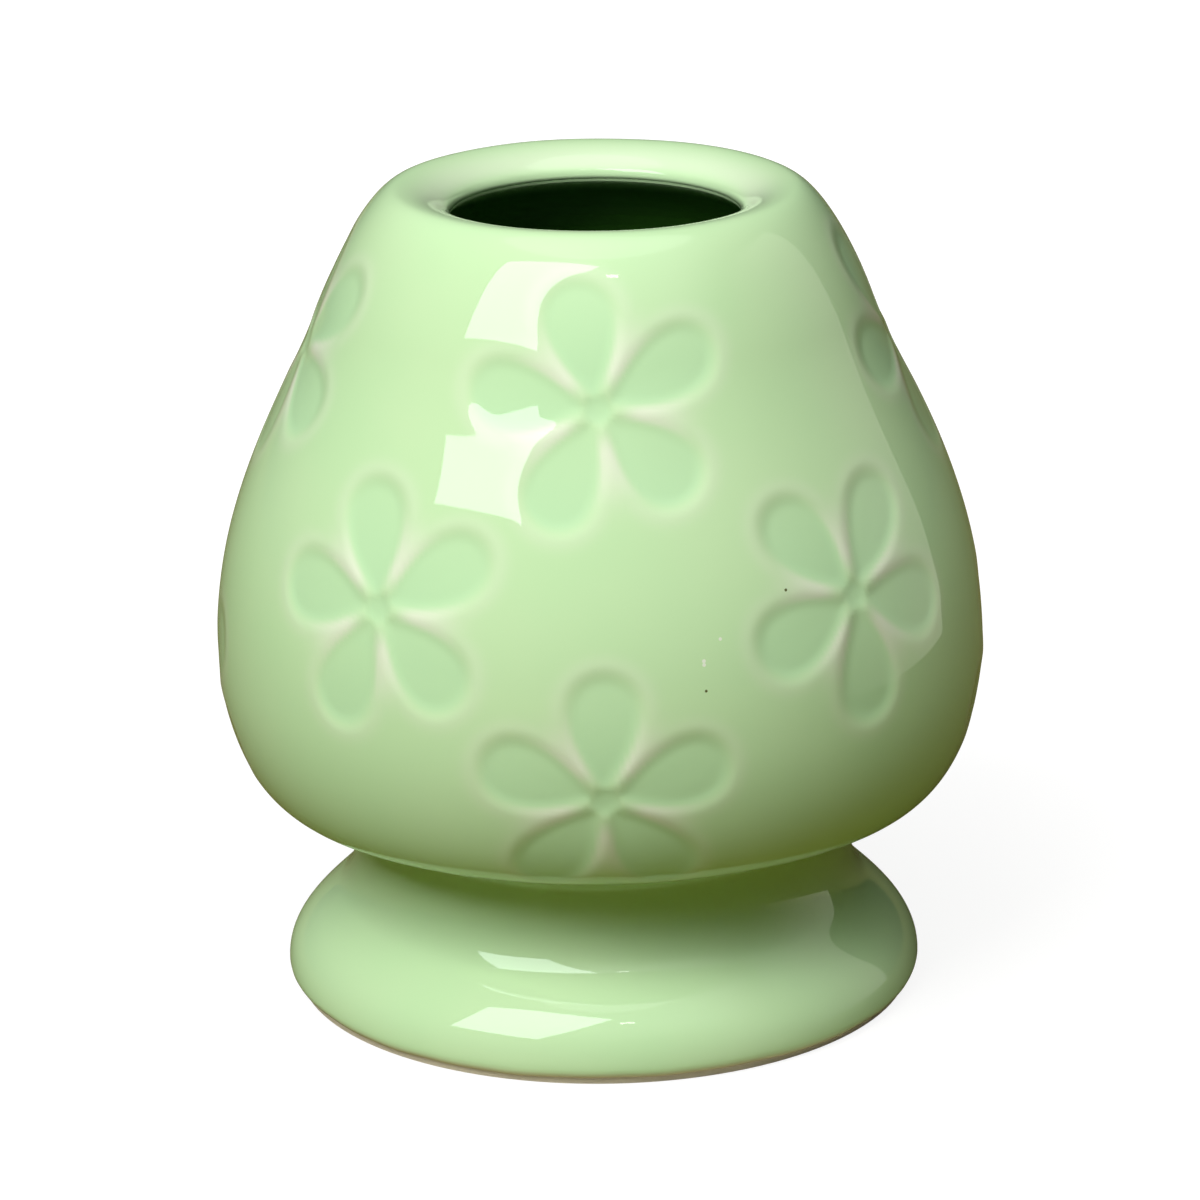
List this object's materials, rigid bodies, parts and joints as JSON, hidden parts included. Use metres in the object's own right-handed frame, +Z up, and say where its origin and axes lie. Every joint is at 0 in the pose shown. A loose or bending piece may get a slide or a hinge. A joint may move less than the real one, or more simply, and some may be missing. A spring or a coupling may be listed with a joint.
{
  "type": "whisk stand",
  "caption": "Pear-shaped glazed ceramic stand for a bamboo tea whisk: hollow bulb with a rolled-in round mouth and impressed blossoms, on a waisted, flared foot.",
  "frame": {"origin": "centre of the standing ring's flat face, on the axis", "axes": "+Z up along the axis of turning, out of the mouth; -Y is the front, where a blossom faces the viewer; +X to the viewer's right"},
  "size_m": [0.066, 0.066, 0.0704],
  "materials": {
    "clay": "fine pale stoneware, unglazed, slightly rough, seen only at the standing ring and the bare band beside it",
    "slip": "fired joining slip, unglazed, hidden between bulb and foot",
    "celadon_glaze": "glossy yellow-green celadon, darker and bluer where it pools in the impressed petals, paler on raised edges",
    "liner_glaze": "glossy celadon liner, thicker and deeper green than outside",
    "recess_glaze": "thinner glossy celadon under the foot"
  },
  "bodies": {
    "root": {"bulb": "clay", "foot": "clay", "luting_slip": "slip", "outer_glaze": "celadon_glaze", "liner_glaze": "liner_glaze", "recess_glaze": "recess_glaze"}
  },
  "joints": []
}
